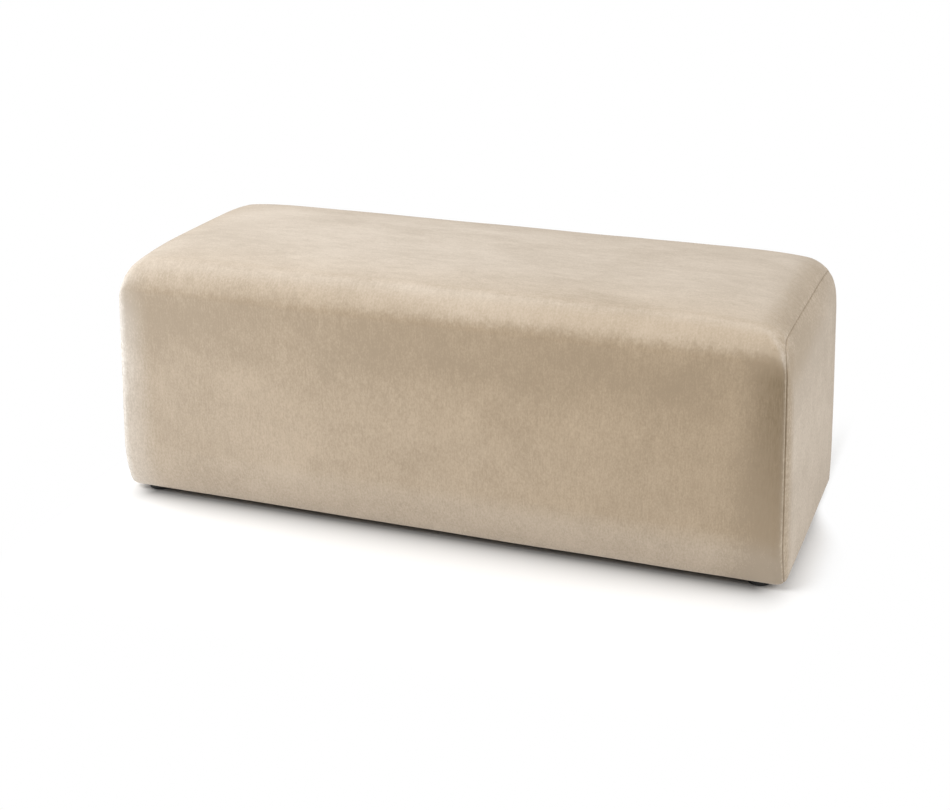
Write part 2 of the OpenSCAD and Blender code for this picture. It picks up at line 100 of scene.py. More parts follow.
class BenchCoverSizes(PropertyGroup):
    """Shape of the cover, the same as in the construction."""

    bench_len: length("Length", "Length at the foot of the two ends", 1.1)
    bench_dep: length("Depth", "Depth from front to back", 0.435)
    end_lean: length("End lean", "How far each end leans in from its foot to the seat", 0.017)
    top_edge_r: length("Top edge", "Rounding of the long top edges", 0.04)
    end_edge_r: length("End edge", "Rounding of the top edges of the ends", 0.046)
    upright_edge_r: length("Upright edge", "Rounding of the upright corners", 0.022)
    foot_edge_r: length("Foot edge", "Rounding where the cloth turns under", 0.006)
    seat_rise: length("Seat rise", "Rise of the domed seat from its edges to its middle", 0.028)
    wall_crown: length("Wall crown", "Swell of the front and back", 0.002)
    end_crown: length("End crown", "Swell of the ends", 0.003)
    foot_draw: length("Foot draw", "How far front and back are drawn in at the foot", 0.022)
    foot_draw_ht: length("Draw height", "Height over which they are drawn in", 0.087)
    open_x: length("Opening, half length", "Half length of the opening in the underside", 0.476)
    open_y: length("Opening, half depth", "Half depth of the opening in the underside", 0.1405)
    seam_angle: angle("Seam angle", "Place of the end seams round the corners, counted from the front", 45)


class BenchSewing(PropertyGroup):
    """How the cloth lies at its seams and over the foam."""

    groove: length("Seam groove", "Depth of the valley along a seam", 0.0007)
    groove_w: length("Groove width", "Half width of the valley", 0.001)
    ridge: length("Seam ridge", "Swell of the turned-in cloth beside a seam", 0.0003)
    ridge_at: length("Ridge place", "Distance of that swell from the seam", 0.0045)
    pucker: length("Pucker", "Height of the small gathers along a seam", 0.0005)
    pucker_len: length("Pucker spacing", "Distance from one gather to the next", 0.011)
    pucker_reach: length("Pucker reach", "How far the gathers run into the cloth", 0.012)
    allowance: length("Allowance", "Depth of the cloth turned in at a seam", 0.005)
    wave: length("Wave", "Unevenness of the foam under the cloth", 0.0006)
    wave_len: length("Wave length", "Size of that unevenness", 0.15)


class BenchColours(PropertyGroup):
    """Colours of the bench's materials."""

    # The velvet's two shades, mixed by random nap patches. The darker one also carries the painted shade
    # under the long edges, at the right seam and over the right end's edge. The lighter one, raised, carries
    # the painted highlight on the top edges.
    velvet: colour("Velvet", "Velvet seen along its pile", (0.440, 0.330, 0.212))
    velvet_shade: colour("Velvet, against the pile", "Velvet where its pile lies away", (0.325, 0.243, 0.155))
    # Painted shade in front of the right-hand seam and along the seams' lines
    crease_shade: colour("Velvet in a crease", "Velvet in the fold beside a seam", (0.118, 0.080, 0.036))
    # Painted sheen and highlights of the pile
    sheen_colour: colour("Pile tips", "Tips of the pile, seen along the cloth", (1.0, 0.99, 0.97))
    dust: colour("Dust cover", "Non-woven cloth underneath", (0.022, 0.022, 0.024))
    glide: colour("Glides", "Moulded plastic of the feet", (0.012, 0.012, 0.013))
    plywood: colour("Plywood", "Face of the plywood", (0.60, 0.42, 0.24))
    pine: colour("Pine", "Rails and blocks", (0.68, 0.48, 0.26))
    foam: colour("Foam", "Polyurethane foam", (0.80, 0.68, 0.42))
    wadding: colour("Wadding", "Polyester wadding", (0.82, 0.82, 0.80))
    zinc: colour("Zinc", "Staples and screws", (0.58, 0.59, 0.61))
    webbing: colour("Webbing", "Elastic webbing", (0.03, 0.03, 0.033))
    lining: colour("Lining", "Cloth on the webbing", (0.36, 0.36, 0.35))
    floor: colour("Floor", "Studio floor", (0.9, 0.9, 0.9))


class BenchStage(PropertyGroup):
    """Camera and light."""

    lens: FloatProperty(name="Lens", description="Focal length", default=62.61, unit="CAMERA")
    azimuth: angle("Azimuth", "Camera's angle round the bench", 20.25)
    height: angle("Height angle", "Camera's angle above the floor", 21.05)
    distance: length("Distance", "Camera's distance from the bench", 2.6798)
    aside: length("Aside", "Camera's step to the right", -0.0056, least=-1)
    lift: length("Lift", "Camera's step up", -0.0463, least=-1)
    floor_gain: FloatProperty(name="Floor gain", description="How white the floor is seen", default=1.0)
    sky: FloatProperty(name="Sky", description="Strength of the light from all round", default=0.5)


# The cover's form: a rounded box, crowned and drawn in at its foot


def ease(t):
    return t * t * (3 - 2 * t)


def clamp01(t):
    return min(1.0, max(0.0, t))


# Kinds of place round the section
FOOT, WALL, TOP_EDGE, SEAT, UNDER, MIDDLE = range(6)
# Powers that shape the seat's dome across, along and up, and the drawn-in foot
DOME_POWER, DOME_END_POWER, DOME_HEIGHT_POWER, FOOT_POWER = 4, 12, 3, 2
# Least roundings left of the top edge and of the foot edge at the corners
CORNER_MIN, EDGE_MIN = 6 * MM, 0.4 * MM


class Form:
    """The outside of the cover, in metres; places round the section are (kind, side, share)."""

    def __init__(self, sizes):
        self.s = sizes
        self.form_ht = SEAT_TOP - COVER_FOOT - sizes.seat_rise
        self.half_len = (sizes.bench_len - sizes.end_lean) / 2
        self.half_dep = sizes.bench_dep / 2 - sizes.wall_crown
        self.under_y = sizes.open_y / (1 - sizes.foot_draw / self.half_dep)
        self.under_x = sizes.open_x / (1 + sizes.end_lean / 2 / self.half_len)

    def end_r(self, place):
        kind, _, t = place
        s = {TOP_EDGE: t, SEAT: 1.0}.get(kind, 0.0)
        return self.s.upright_edge_r + (self.s.end_edge_r - self.s.upright_edge_r) * ease(s)

    def soften(self, x, y, z):
        s = self.s
        u, v, w = x / self.half_len, y / self.half_dep, 2 * z / self.form_ht - 1
        bu, bv, bw = max(0, 1 - u * u), max(0, 1 - v * v), max(0, 1 - w * w)
        low = clamp01(1 - z / s.foot_draw_ht) ** FOOT_POWER
        dome = max(0, 1 - abs(v) ** DOME_POWER) * max(0, 1 - abs(u) ** DOME_END_POWER)
        return Vector((
            x + u * (s.end_crown * bv * bw - w * s.end_lean / 2),
            y + v * (s.wall_crown * bu * bw - s.foot_draw * low),
            z + COVER_FOOT + clamp01(z / self.form_ht) ** DOME_HEIGHT_POWER * dome * s.seat_rise,
        ))

    def raw(self, turn, place):
        """Point before crown and lean, at an angle round the end: 0 along the wall, 90 degrees on the end."""
        kind, side, t = place
        s = self.s
        a, b = 1 - math.cos(turn), 1 - math.sin(turn)
        x = self.half_len - self.end_r(place) * b
        wall_in, seat_in = s.upright_edge_r * a, s.end_edge_r * a
        arc_y, arc_z = max(s.top_edge_r - wall_in, CORNER_MIN), s.top_edge_r
        wall, arc_from = self.half_dep - wall_in, self.form_ht - seat_in - arc_z
        edge = max(s.foot_edge_r - wall_in, EDGE_MIN)
        foot_z = wall_in + edge
        if kind == FOOT:
            bend = QUARTER * (t - 1)
            return x, side * (wall - edge + edge * math.cos(bend)), foot_z + edge * math.sin(bend)
        if kind == WALL:
            return x, side * wall, foot_z + (arc_from - foot_z) * t
        if kind == TOP_EDGE:
            bend = QUARTER * t
            return x, side * (wall - arc_y + arc_y * math.cos(bend)), arc_from + arc_z * math.sin(bend)
        if kind == SEAT:
            return x, t * (wall - arc_y), self.form_ht - seat_in
        if kind == UNDER:
            return x, side * ((wall - edge) * (1 - t) + self.under_y * t), wall_in
        return x, t * self.under_y, wall_in


# Steps of the cover's grid round the section, along the bench and over the ends
FOOT_STEPS, WALL_STEPS, EDGE_STEPS, SEAT_STEPS, UNDER_STEPS = 6, 90, 20, 110, 6
LENGTH_STEPS, CORNER_STEPS, FACE_STEPS = 120, 9, 22
END_FOOT_STEPS, FLAP_TURN_STEPS, FLAP_STEPS = 24, 8, 6


def steps(count, first=0.0, last=1.0):
    return [first + (last - first) * i / count for i in range(count + 1)]


def section_places():
    """Places from the front foot over the seat to the back foot."""
    up = [(FOOT, t) for t in steps(FOOT_STEPS)] + [(WALL, t) for t in steps(WALL_STEPS)[1:-1]]
    up += [(TOP_EDGE, t) for t in steps(EDGE_STEPS)]
    front = [(kind, -1, t) for kind, t in up]
    back = [(kind, 1, t) for kind, t in reversed(up)]
    return front + [(SEAT, 1, t) for t in steps(SEAT_STEPS, -1, 1)[1:-1]] + back


def under_places(side):
    """Places of the cloth turned under, at the front from the opening outwards, at the back the other way."""
    return [(UNDER, side, t) for t in steps(UNDER_STEPS)[1:]][::side]


def middle_places():
    """Places under an end, between the front and back turn-unders."""
    return [(MIDDLE, 1, t) for t in steps(END_FOOT_STEPS, 1, -1)[1:-1]]


# Distances from a seam, in millimetres, at which the cloth has its rows of points
NEAR_SEAM = [0, 0.35, 0.7, 1.1, 1.6, 2.2, 3.0, 4.2, 5.8, 8.0]
# How much finer and fainter the second noise of the padding and of the gathers is
WAVE_FINER, WAVE_FAINTER, WAVE_ELSEWHERE = 2.7, 0.4, Vector((7, 3, 5))
BEAT_FINER, BEAT_FAINTER, BEAT_ELSEWHERE = 2.3, 0.5, 4


def wave_height(p, sewing):
    """Unevenness of the padding under the cloth."""
    big = noise.noise(p / sewing.wave_len)
    small = noise.noise(p * WAVE_FINER / sewing.wave_len + WAVE_ELSEWHERE)
    return sewing.wave * (big + WAVE_FAINTER * small)


def seam_height(gap, along, seed, sewing):
    """Height of the cloth at a distance from a seam: valley, ridge of turned-in cloth, and gathers."""
    valley = -sewing.groove * math.exp(-((gap / sewing.groove_w) ** 2))
    ridge = sewing.ridge * math.exp(-(((gap - sewing.ridge_at) / sewing.ridge_at) ** 2))
    beat = noise.noise(Vector((along / sewing.pucker_len, seed, 0)))
    finer = Vector((BEAT_FINER * along / sewing.pucker_len, seed, BEAT_ELSEWHERE))
    beat += BEAT_FAINTER * noise.noise(finer)
    gather = sewing.pucker * beat * math.exp(-gap / sewing.pucker_reach)
    return valley + ridge + gather * (1 - math.exp(-gap / sewing.groove_w))


# A point inside the bench, and the least length that a normal is divided by
CORE = np.array([0, 0, 0.2])
NO_LENGTH = 1e-12


def grid_normals(points):
    """Unit normals of a grid of points, by differences between neighbours."""
    down, across = np.gradient(points, axis=0), np.gradient(points, axis=1)
    n = np.cross(across, down)
    return n / np.maximum(np.linalg.norm(n, axis=2, keepdims=True), NO_LENGTH)


def raise_grid(points, heights):
    """Moves a grid's points outwards by their heights."""
    normals = grid_normals(points)
    middle = tuple(n // 2 for n in points.shape[:2])
    if normals[middle] @ (points[middle] - CORE) < 0:
        normals = -normals
    return points + normals * heights[..., None]


def grid_faces(rows, cols, closed=False, start=0):
    faces = []
    for i in range(rows - 1):
        row, following = start + i * cols, start + (i + 1) * cols
        for j in range(cols if closed else cols - 1):
            k = (j + 1) % cols
            faces.append((row + j, row + k, following + k, following + j))
    return faces


def add_object(name, verts, faces, material, attributes=None):
    mesh = bpy.data.meshes.new(name)
    mesh.from_pydata([tuple(v) for v in verts], [], faces)
    mesh.validate()
    for key, values in (attributes or {}).items():
        layer = mesh.attributes.new(key, "FLOAT", "POINT")
        layer.data.foreach_set("value", [float(v) for v in values])
    mesh.shade_smooth()
    mesh.materials.append(material)
    obj = bpy.data.objects.new(name, mesh)
    bpy.context.scene.collection.objects.link(obj)
    return obj


WELD = 0.01 * MM


def merge_and_face_out(obj):
    """Joins points that lie on each other and turns all faces outwards."""
    bm = bmesh.new()
    bm.from_mesh(obj.data)
    bmesh.ops.remove_doubles(bm, verts=bm.verts, dist=WELD)
    bmesh.ops.recalc_face_normals(bm, faces=bm.faces)
    if bm.calc_volume(signed=True) < 0:
        bmesh.ops.reverse_faces(bm, faces=bm.faces)
    bm.to_mesh(obj.data)
    bm.free()
    obj.data.shade_smooth()


def path_lengths(points):
    step = np.linalg.norm(np.diff(points, axis=0), axis=1)
    return np.concatenate([[0.0], np.cumsum(step)])


# Materials


class Recipe:
    """A material's nodes, added one by one."""

    def __init__(self, name):
        self.material = bpy.data.materials.new(name)
        self.material.use_nodes = True
        self.tree = self.material.node_tree
        self.tree.nodes.clear()
        self.output = self.node("ShaderNodeOutputMaterial")
        self.shader = self.node("ShaderNodeBsdfPrincipled")
        self.link(self.shader.outputs[0], self.output.inputs[0])
        self.place = self.node("ShaderNodeTexCoord").outputs["Object"]

    def node(self, kind, inputs=None, **settings):
        """A new node; its inputs are fed with values or sockets, by their names or numbers."""
        made = self.tree.nodes.new(kind)
        for key, value in settings.items():
            setattr(made, key, value)
        for key, value in (inputs or {}).items():
            if isinstance(value, bpy.types.NodeSocket):
                self.link(value, made.inputs[key])
            else:
                made.inputs[key].default_value = value
        return made

    def link(self, source, target):
        self.tree.links.new(source, target)

    def drive(self, name, source):
        self.link(source, self.shader.inputs[name])

    def mapped(self, stretch=(1, 1, 1), turn=(0, 0, 0)):
        inputs = {"Vector": self.place, "Scale": stretch, "Rotation": turn}
        return self.node("ShaderNodeMapping", inputs).outputs[0]

    def noise(self, scale, detail=2.0, rough=0.5, stretch=(1, 1, 1), turn=(0, 0, 0), twist=0.0):
        inputs = {"Scale": scale, "Detail": detail, "Roughness": rough, "Distortion": twist}
        return self.node("ShaderNodeTexNoise", {"Vector": self.mapped(stretch, turn), **inputs}).outputs[0]

    def cells(self, scale, randomness=1.0):
        """Distance from the nearest of scattered points."""
        inputs = {"Vector": self.mapped(), "Scale": scale, "Randomness": randomness}
        return self.node("ShaderNodeTexVoronoi", inputs).outputs["Distance"]

    def maths(self, operation, a, b=0.0, clamp=False):
        return self.node("ShaderNodeMath", {0: a, 1: b}, operation=operation, use_clamp=clamp).outputs[0]

    def plus(self, *values):
        return reduce(lambda a, b: self.maths("ADD", a, b), values)

    def times(self, *values):
        return reduce(lambda a, b: self.maths("MULTIPLY", a, b), values)

    def minus(self, a, b, clamp=False):
        return self.maths("SUBTRACT", a, b, clamp)

    def larger(self, a, b):
        return self.maths("MAXIMUM", a, b)

    def size_of(self, value):
        return self.maths("ABSOLUTE", value)

    def distance(self, *parts):
        return self.maths("SQRT", self.plus(*[self.times(part, part) for part in parts]))

    def weigh(self, fields):
        """Half, plus each field's departure from half times its weight."""
        total = 0.5
        for field, weight in fields:
            total = self.plus(self.times(self.minus(field, 0.5), weight), total)
        return total

    def ramp(self, value, from_low, from_high, to_low=0.0, to_high=1.0):
        inputs = dict(enumerate((value, from_low, from_high, to_low, to_high)))
        return self.node("ShaderNodeMapRange", inputs, interpolation_type="SMOOTHSTEP").outputs[0]

    def blend(self, share, low, high):
        return self.node("ShaderNodeMix", {0: share, 6: low, 7: high}, data_type="RGBA").outputs[2]

    def shades(self, share, rgb, dark, light):
        """A colour between a darker and a lighter level of itself."""
        return self.blend(share, opaque(rgb, dark), opaque(rgb, light))

    def split(self, vector):
        return self.node("ShaderNodeSeparateXYZ", {0: vector}).outputs

    def normal_parts(self):
        return self.split(self.node("ShaderNodeNewGeometry").outputs["Normal"])

    def layer(self, name):
        return self.node("ShaderNodeAttribute", attribute_name=name).outputs["Fac"]

    def done(self, base, relief, strength, depth, **constants):
        """The material with its colour, its bump and its constant values."""
        self.drive("Base Color", base)
        inputs = {"Strength": strength, "Distance": depth, "Height": relief}
        self.drive("Normal", self.node("ShaderNodeBump", inputs).outputs[0])
        for key, value in constants.items():
            self.shader.inputs[key.replace("_", " ")].default_value = value
        return self.material


def opaque(rgb, level=1.0):
    return tuple(level * c for c in rgb) + (1.0,)


MATERIALS = {}


def finish_of(name):
    """The named material, made on first use."""
    if name not in MATERIALS:
        MATERIALS[name] = RECIPES[name](bpy.context.scene.bench_colours)
    return MATERIALS[name]


# The velvet's noise fields: scale, detail, roughness, stretch, turn, twist. The nap differs between the
# walls, where it runs up and down, and the seat, where it runs along. Over a long edge it lies aslant.
STRAIGHT, ASLANT = (0, 0, 0), (0, math.radians(28), 0)
NAP = {
    "patches": ((6.5, 3, 0.5, (1, 1, 1.25), STRAIGHT, 0.7), (11, 3.5, 0.6, (0.55, 1.5, 1), STRAIGHT, 0.9)),
    "mottle": ((60, 4, 0.65, (1, 1, 0.7)), (60, 3, 0.6, (0.45, 1.6, 1))),
    "clouds": ((20, 1, 0.4), (9, 1, 0.4, (0.8, 0.8, 1))),
    "streaks": ((400, 2, 0.6, (1, 1, 0.17)), (330, 2, 0.6, (0.3, 1, 1))),
}
FIBRES = {
    "grain": (430, 1.5, 0.6, (1, 1, 0.6)),
    "fluff": (170, 2, 0.6),
    "slant": (300, 2.5, 0.6, (1, 0.22, 0.22), ASLANT),
    "tufts": (95, 2, 0.5, (1, 0.35, 0.35), ASLANT),
    "fuzz": (150, 2, 0.6, (0.3, 1, 1)),
}

# Weights of the fields in the share of lit pile, on the walls and on the seat
WEIGHTS = {"patches": (0.85, 0.9), "mottle": (0.65, 0.65), "clouds": (0.35, 0.55), "streaks": (0.8, 0.65)}
GRAIN_ON_SEAT, SLANT_WEIGHT, TUFTS_WEIGHT, FUZZ_WEIGHT = 0.95, 0.8, 0.5, 2.6

# Where the velvet's masks begin and are full, with the values there if these aren't 0 and 1.
# Names with an axis are places in metres, the others parts of a normal, a noise or a mask.
RAMPS = dict(
    seat=(0.55, 0.85), wall=(0.8, 0.4), grain_on_wall=(0.5, 0.9, 1.25, 2.1),
    bend=(0.05, 0.42), bend_foot=(0, 0.1), bend_top=(0.99, 0.82),
    crest_foot=(0.25, 0.5), crest_top=(0.95, 0.55), crest_x=(-0.25, 0.05), long_crest_x=(0, 0.3, 0.07, 0.045),
    end_edge_turn=(0.6, 0.2), end_corner_turn=(0.6, 0.9),
    shade_band_foot_z=(0.225, 0.3), seam_shade_x=(0.43, 0.52), seam_shade_turn=(0.75, 0.45),
    sheen_near=(0.05, 0.26, 0.045, 0.16), sheen_middle=(0.26, 0.74, 0, 0.105), sheen_far=(0.76, 0.9, 0, 0.05),
    sheen_seat_x=(-0.15, 0.35, 1, 0.9), sheen_end_edge=(0, 1, 1, 0.55), sheen_pile=(0, 1, 0.8, 1.2),
    left_x=(-0.47, -0.53, 0, 0.15), left_turn=(0, -0.75, 0, 0.12),
    left_low_z=(0.1, 0.3, 1, 1.6), left_high_z=(0.36, 0.3, 0.55, 1),
    before_seam=(0.08, -0.08), crease_shade_low_z=(0, 0.34), crease_shade_streaks=(0.3, 0.7, 0.5, 0.34),
)
# The same for masks with ragged borders, after how far the noise shifts these
RAGGED = dict(
    long_edge_y=(0.03, 0.14, 0.185), long_edge_x=(0.04, 0.54, 0.5),
    end_edge_x=(0.03, 0.465, 0.53), end_edge_z=(0.02, 0.26, 0.37), end_corner_y=(0.02, -0.165, -0.2),
    shade_band_top_z=(0.05, 0.4, 0.32), seam_top=(0.015, 0.017, 0.005, 0, 0.07),
    crease_shade_x=(0.04, 0.46, 0.525), crease_shade_high_z=(0.03, 0.37, 0.325),
)
BEND_REACH, SHIFT_SHARE = 0.32, 0.7

# How the shade over the right-hand end's edge sinks to the back: a slope, counted from the front corner
END_EDGE_SINKS, END_EDGE_FRONT = 0.13, 0.2
# Upper ends of the seams' upright parts
SEAM_TOP = (0.529, 0.209, 0.362)

# Strength of the painted shade in each place; of the painted highlight and sheen over the long edges and a
# crest; of the painted shade on a seam's line on the walls and the seat
BAND_SHADE, RIGHT_SEAM_SHADE, END_EDGE_SHADE, END_CORNER_SHADE = 0.32, 0.75, 0.3, 0.7
SHEEN_LOW_CREST, HIGHLIGHT_LONG, HIGHLIGHT_CREST, HIGHLIGHT_LEVEL = 0.05, 0.1, 0.25, 1.2
SEAM_LINE_SHADE, GRAIN_RELIEF = (0.4, 0.16), 0.6


class VelvetRecipe(Recipe):
    """The velvet's nodes: where the cloth is, how it faces, its nap, and masks with ragged borders."""

    def __init__(self, name):
        super().__init__(name)
        self.x, self.y, self.z = self.split(self.place)
        self.nx, self.ny, self.nz = self.normal_parts()
        self.lengthways = self.size_of(self.ny)
        self.flat, self.wall = self.fade(self.nz, "seat"), self.fade(self.nz, "wall")
        self.nap = {kind: self.either(*[self.noise(*noise) for noise in pair]) for kind, pair in NAP.items()}
        self.fibres = {kind: self.noise(*settings) for kind, settings in FIBRES.items()}
        self.shift = self.minus(self.plus(self.nap["mottle"], self.fibres["fluff"]), 1.0)

    def either(self, on_wall, on_seat):
        return self.node("ShaderNodeMix", {0: self.flat, 2: on_wall, 3: on_seat}).outputs[0]

    def fade(self, value, name):
        return self.ramp(value, *RAMPS[name])

    def ragged(self, value, reach):
        return self.plus(value, self.times(self.shift, SHIFT_SHARE * reach))

    def ragged_fade(self, value, name):
        reach, *ends = RAGGED[name]
        return self.ramp(self.ragged(value, reach), *ends)


def velvet_edges(mat):
    """Masks of the cloth over a long top edge, of its crest, and of the painted shade over the right-hand
    end's top edge.
    """
    bent = mat.ragged(mat.nz, BEND_REACH)
    on_long = mat.times(mat.ragged_fade(mat.size_of(mat.y), "long_edge_y"),
                        mat.ragged_fade(mat.size_of(mat.x), "long_edge_x"))
    over_long = mat.times(mat.fade(bent, "bend"), mat.fade(mat.nz, "bend_foot"),
                          mat.fade(mat.nz, "bend_top"), on_long)
    crest = mat.times(mat.fade(bent, "crest_foot"), mat.fade(bent, "crest_top"),
                      mat.fade(mat.x, "crest_x"), on_long)
    sunk = mat.times(mat.plus(mat.y, END_EDGE_FRONT), END_EDGE_SINKS)
    end_edge_shade = mat.times(mat.ragged_fade(mat.x, "end_edge_x"),
                         mat.ragged_fade(mat.minus(mat.z, sunk), "end_edge_z"),
                         mat.fade(mat.lengthways, "end_edge_turn"))
    # painted shade beside the right-hand end's front corner
    corner = mat.times(mat.ragged_fade(mat.y, "end_corner_y"), mat.fade(mat.nx, "end_corner_turn"),
                       END_CORNER_SHADE)
    return over_long, crest, mat.larger(end_edge_shade, corner)


def velvet_share(mat, over_long, end_edge_shade):
    """Share of lit pile; painted shade lowers it in a band under the long edges, at the right seam and over
    the end's edge.
    """
    grain = mat.either(mat.fade(mat.size_of(mat.nx), "grain_on_wall"), GRAIN_ON_SEAT)
    share = mat.weigh([(mat.nap[kind], mat.either(*WEIGHTS[kind])) for kind in NAP] + [
        (mat.fibres["grain"], grain),
        (mat.fibres["slant"], mat.times(over_long, SLANT_WEIGHT)),
        (mat.fibres["tufts"], mat.times(over_long, TUFTS_WEIGHT)),
        (mat.fibres["fuzz"], mat.times(mat.layer("beside_seam"), FUZZ_WEIGHT)),
    ])
    # painted shade: a band under the long edges, a strip before the right-hand seam, and over the right-hand
    # end's edge
    band = mat.times(mat.fade(mat.z, "shade_band_foot_z"), mat.ragged_fade(mat.z, "shade_band_top_z"))
    right_seam_shade = mat.times(mat.fade(mat.x, "seam_shade_x"), mat.fade(mat.nx, "seam_shade_turn"))
    away = mat.larger(mat.times(band, BAND_SHADE), mat.times(right_seam_shade, RIGHT_SEAM_SHADE))
    share = mat.minus(share, mat.times(away, mat.wall))
    return mat.minus(share, mat.times(end_edge_shade, END_EDGE_SHADE), clamp=True)


def velvet_sheen(mat, share, over_long, crest, end_edge_shade):
    """Share of painted sheen; more where the cloth is seen flat, over the edges, at the seams' tops and the
    left corner.
    """
    facing = mat.node("ShaderNodeLayerWeight").outputs["Facing"]
    sheen = mat.plus(mat.fade(facing, "sheen_near"), mat.fade(facing, "sheen_middle"))
    sheen = mat.minus(sheen, mat.fade(facing, "sheen_far"))
    on_seat = mat.either(1.0, mat.fade(mat.x, "sheen_seat_x"))
    sheen = mat.times(sheen, on_seat, mat.fade(end_edge_shade, "sheen_end_edge"))
    # painted highlight on the left corner's rim
    left_rim_highlight = mat.plus(mat.fade(mat.x, "left_x"), mat.fade(mat.nx, "left_turn"))
    left_rim_highlight = mat.times(left_rim_highlight, mat.fade(mat.z, "left_low_z"), mat.fade(mat.z, "left_high_z"))
    # painted highlight at the seams' upper ends
    from_top = mat.distance(*[mat.minus(value, at) for value, at in
                              zip((mat.size_of(mat.x), mat.size_of(mat.y), mat.z), SEAM_TOP)])
    return mat.times(mat.plus(
        sheen,
        mat.times(over_long, mat.fade(mat.x, "long_crest_x")),
        mat.times(crest, SHEEN_LOW_CREST),
        mat.ragged_fade(from_top, "seam_top"),
        mat.times(left_rim_highlight, mat.wall),
    ), mat.fade(share, "sheen_pile"))


def velvet_crease_shade(mat):
    """Mask of the painted shade, as in a fold, in front of the right-hand seam."""
    return mat.times(
        mat.ragged_fade(mat.x, "crease_shade_x"),
        mat.fade(mat.minus(mat.nx, mat.lengthways), "before_seam"),
        mat.fade(mat.z, "crease_shade_low_z"),
        mat.ragged_fade(mat.z, "crease_shade_high_z"),
        mat.fade(mat.nap["streaks"], "crease_shade_streaks"),
    )


def velvet(colours):
    """Short-pile velvet: brushed nap, fibre streaks, painted sheen and highlights, and painted shade beside
    the seams.
    """
    mat = VelvetRecipe("sand_velvet")
    over_long, crest, end_edge_shade = velvet_edges(mat)
    share = velvet_share(mat, over_long, end_edge_shade)
    sheen = velvet_sheen(mat, share, over_long, crest, end_edge_shade)
    # random nap patches between the velvet's two shades; the darker also carries the painted shade
    pile = mat.blend(share, opaque(colours.velvet_shade), opaque(colours.velvet))
    # painted highlight over the long top edges and their crest
    highlight = mat.maths("ADD", mat.times(over_long, HIGHLIGHT_LONG), mat.times(crest, HIGHLIGHT_CREST), clamp=True)
    pile = mat.blend(highlight, pile, opaque(colours.velvet, HIGHLIGHT_LEVEL))
    # painted sheen, pale where the cloth is seen flat and over the edges
    base = mat.blend(sheen, pile, opaque(colours.sheen_colour))
    # painted shade in front of the right-hand seam, and along every seam's line
    base = mat.blend(velvet_crease_shade(mat), base, opaque(colours.crease_shade))
    base = mat.blend(mat.times(mat.layer("seam"), mat.either(*SEAM_LINE_SHADE)), base, opaque(colours.crease_shade))
    relief = mat.plus(mat.times(mat.fibres["grain"], GRAIN_RELIEF), mat.nap["streaks"])
    return mat.done(base, relief, 0.35, 0.4 * MM, Roughness=0.95, Specular_IOR_Level=0.1,
                    Sheen_Weight=0.12, Sheen_Roughness=0.4, Sheen_Tint=(1.0, 0.97, 0.93, 1.0))


def non_woven(name, rgb, scale):
    """Pressed fibre cloth: short crossing fibres and a grid of weld dots."""
    mat = Recipe(name)
    fibres = mat.noise(scale, detail=4, rough=0.7, stretch=(1, 0.4, 1), turn=(0, 0, 0.6))
    crossing = mat.noise(scale, detail=4, rough=0.7, stretch=(0.4, 1, 1), turn=(0, 0, -0.4))
    dots = mat.cells(scale * 0.5, randomness=0.15)
    share = mat.larger(fibres, crossing)
    base = mat.shades(mat.ramp(share, 0.35, 0.75), rgb, dark=0.6, light=1.6)
    relief = mat.plus(share, mat.ramp(dots, 0.1, 0.3))
    return mat.done(base, relief, 0.4, 0.2 * MM, Roughness=0.85, Specular_IOR_Level=0.3,
                    Sheen_Weight=0.1, Sheen_Roughness=0.5)


def moulded(colours):
    """Black plastic with a fine moulded texture and light scuffs."""
    mat = Recipe("black_plastic")
    texture = mat.noise(1400, detail=3, rough=0.6)
    scuffs = mat.noise(90, detail=4, rough=0.65, stretch=(1, 1, 3))
    mat.drive("Roughness", mat.ramp(scuffs, 0.3, 0.8, 0.42, 0.62))
    base = mat.shades(mat.ramp(scuffs, 0.55, 0.8), colours.glide, dark=1, light=2.2)
    return mat.done(base, texture, 0.15, 0.1 * MM, IOR=1.5)


# Layers of plywood, and radians of the webbing's threads, in a metre
PLIES, THREADS = 210, 2600


def wood(name, rgb, plies):
    """Long grain along the piece, with rings; the edge of plywood shows its layers."""
    mat = Recipe(name)
    grain = mat.noise(60, detail=5, rough=0.65, stretch=(0.12, 1, 1), twist=0.6)
    pores = mat.noise(700, detail=3, rough=0.6, stretch=(0.06, 1, 1))
    inputs = {"Vector": mat.mapped((0.1, 1, 1)), "Scale": 14, "Distortion": 6, "Detail": 3}
    rings = mat.node("ShaderNodeTexWave", inputs, wave_type="RINGS", rings_direction="X")
    share = mat.weigh([(grain, 1.4), (pores, 0.6), (rings.outputs["Fac"], 0.35)])
    base = mat.shades(share, rgb, dark=0.62, light=1.15)
    if plies:
        nz = mat.normal_parts()[2]
        y = mat.split(mat.place)[1]
        ply = mat.maths("FRACT", mat.times(y, PLIES))
        on_edge = mat.times(mat.ramp(mat.size_of(nz), 0.8, 0.95), mat.ramp(ply, 0.45, 0.55))
        base = mat.blend(mat.times(on_edge, 0.5), base, opaque(rgb, 0.4))
    mat.drive("Roughness", mat.ramp(grain, 0.2, 0.8, 0.55, 0.75))
    return mat.done(base, mat.plus(pores, grain), 0.25, 0.3 * MM)


def zinc(colours):
    """Bright zinc on steel, with fine drawing lines and dull patches."""
    mat = Recipe("zinc_steel")
    patches = mat.noise(260, detail=3, rough=0.6)
    lines = mat.noise(1500, detail=2, rough=0.5, stretch=(0.1, 1, 1))
    mat.drive("Roughness", mat.ramp(patches, 0.3, 0.7, 0.28, 0.48))
    base = mat.shades(patches, colours.zinc, dark=0.85, light=1.1)
    return mat.done(base, lines, 0.1, 0.05 * MM, Metallic=1.0)


